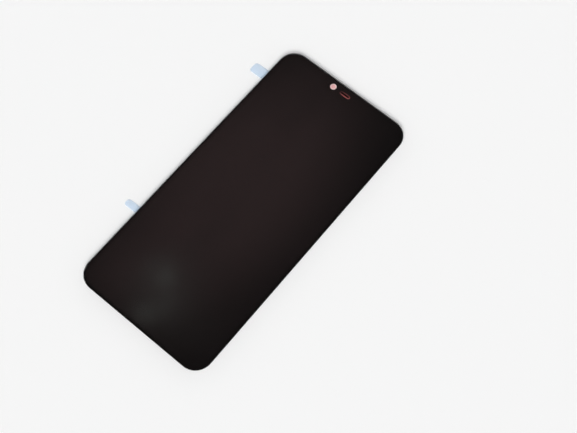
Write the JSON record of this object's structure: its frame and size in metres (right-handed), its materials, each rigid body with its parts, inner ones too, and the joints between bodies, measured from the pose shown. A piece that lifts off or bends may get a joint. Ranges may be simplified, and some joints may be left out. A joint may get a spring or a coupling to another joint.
{
  "type": "phone lcd screen assembly",
  "caption": "Notched phone LCD screen assembly: curved-edge cover glass, bonded liquid-crystal cell, edge-lit backlight in a steel pan, folded flex circuit, rear release film and pull tabs.",
  "frame": {"origin": "middle of the flat viewing face of the cover glass", "axes": "+Z out of the screen, +Y along the length to the earpiece end, +X to the right as seen by the viewer"},
  "size_m": [0.0824, 0.1536, 0.0033],
  "materials": {
    "clear_cover_glass": "polished",
    "black_print": "gloss",
    "clear_adhesive": "clear",
    "dark_polariser": "gloss",
    "filter_glass": "polished",
    "transistor_glass": "polished",
    "silicon_chip": "polished",
    "black_tape": "matt",
    "prism_film": "satin",
    "diffuser_film": "matt",
    "light_guide": "polished",
    "silver_reflector": "satin",
    "white_flex": "satin",
    "lamp": "satin",
    "white_resin": "satin",
    "pan_steel": "satin",
    "amber_flex": "satin",
    "connector_plastic": "satin",
    "gold_contact": "plated",
    "tinned_metal": "satin",
    "chip_resin": "matt",
    "ceramic": "matt",
    "conductive_foil": "woven",
    "red_gasket": "matt",
    "black_mesh": "woven",
    "pale_window_film": "satin",
    "clear_release_film": "gloss",
    "blue_tab_film": "gloss"
  },
  "bodies": {
    "root": {"cover_glass": "clear_cover_glass", "border_print": "black_print", "optical_adhesive": "clear_adhesive", "front_polariser": "dark_polariser", "filter_glass": "filter_glass", "transistor_glass": "transistor_glass", "driver_chip": "silicon_chip", "rear_polariser": "dark_polariser", "rim_tape": "black_tape", "upper_prism_film": "prism_film", "lower_prism_film": "prism_film", "diffuser_film": "diffuser_film", "light_guide": "light_guide", "reflector_film": "silver_reflector", "led_strip": "white_flex", "leds": "lamp", "backlight_frame": "white_resin", "rear_pan": "pan_steel", "main_flex": "amber_flex", "flex_tape": "black_tape", "connector_stiffener": "tinned_metal", "connector_housing": "connector_plastic", "connector_contacts": "gold_contact", "connector_anchors": "tinned_metal", "touch_chip": "chip_resin", "memory_chip": "chip_resin", "flex_capacitors": "ceramic", "led_solder": "tinned_metal", "grounding_foil": "conductive_foil", "earpiece_gasket": "red_gasket", "earpiece_mesh": "black_mesh", "camera_film": "pale_window_film", "rear_film": "clear_release_film", "upper_pull_tab": "blue_tab_film", "lower_pull_tab": "blue_tab_film"}
  },
  "joints": []
}
